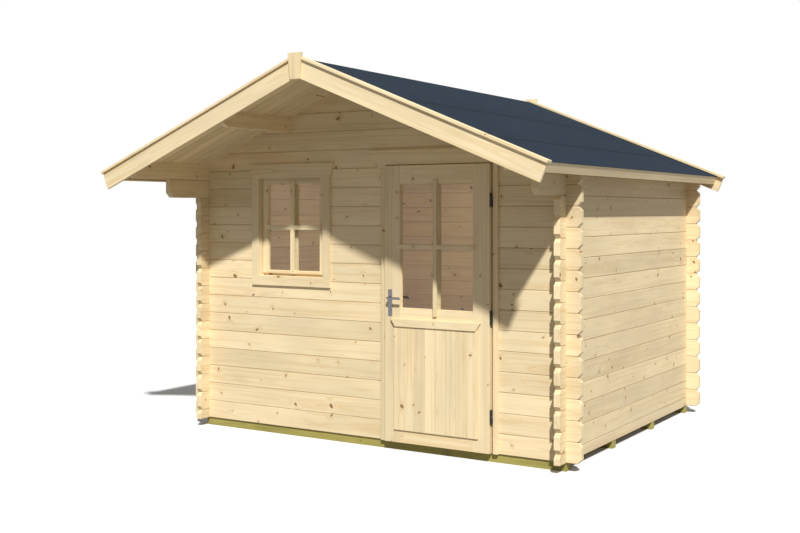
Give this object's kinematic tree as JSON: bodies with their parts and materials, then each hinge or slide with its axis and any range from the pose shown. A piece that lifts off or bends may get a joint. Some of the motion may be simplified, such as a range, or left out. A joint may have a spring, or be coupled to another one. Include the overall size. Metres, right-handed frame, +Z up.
{
  "type": "log garden house",
  "caption": "Small garden house of stacked interlocking logs, with a felted gable roof that shades the front, a half-glazed door that opens outwards and a fixed window.",
  "frame": {"origin": "on the ground, under the middle of the whole outline, roof overhangs included", "axes": "+Z up; -Y is the front, with the door and the window; +X is the house's right seen from the front"},
  "size_m": [3.4582, 3.485, 2.62],
  "materials": {
    "spruce": "planed, untreated",
    "trim": "planed, untreated",
    "boards": "planed, untreated",
    "joinery": "planed, untreated",
    "treated_timber": "green pressure-treated",
    "roofing_felt": "matt mineral felt",
    "glass": "clear",
    "steel_fittings": "satin",
    "dark_hinges": "dark"
  },
  "bodies": {
    "house": {"bearers": "treated_timber", "floor_deck": "boards", "front_wall_lower": "spruce", "front_wall_left": "spruce", "front_wall_middle": "spruce", "front_wall_right": "spruce", "front_gable": "spruce", "rear_wall": "spruce", "rear_gable": "spruce", "left_wall": "spruce", "right_wall": "spruce", "bracket_logs": "spruce", "plate_logs": "spruce", "roof_purlins": "spruce", "roof_boards_left": "boards", "roof_boards_right": "boards", "felt_left": "roofing_felt", "felt_right": "roofing_felt", "eave_fascias": "trim", "front_barge_boards": "trim", "rear_barge_boards": "trim", "front_cover_strips": "trim", "rear_cover_strips": "trim", "ridge_keystones": "trim", "window_frame": "joinery", "window_sash": "joinery", "window_glass": "glass", "window_bars": "joinery", "window_posts": "joinery", "window_boards": "joinery", "door_jambs": "joinery", "door_head_jamb": "joinery", "door_threshold": "joinery", "door_posts": "joinery", "door_head_board": "joinery", "frame_hinges": "dark_hinges"},
    "door": {"door_stiles": "joinery", "door_rails": "joinery", "door_panel": "joinery", "door_drip_cap": "joinery", "door_bars": "joinery", "door_glass": "glass", "leaf_hinges": "dark_hinges", "lock_plates": "steel_fittings"},
    "lever": {"door_lever": "steel_fittings"}
  },
  "joints": [
    {"name": "door_swing", "type": "hinge", "parent": "house", "child": "door", "pos_m": [0.972, -0.9415, 0.058], "axis": [0, 0, 1], "range_deg": [0, 110]},
    {"name": "lever_turn", "type": "hinge", "parent": "door", "child": "lever", "pos_m": [0.212, -0.9075, 1.035], "axis": [0, 1, 0], "range_deg": [0, 40], "stiffness_Nm_per_rad": 1, "springref_deg": -20.05}
  ]
}
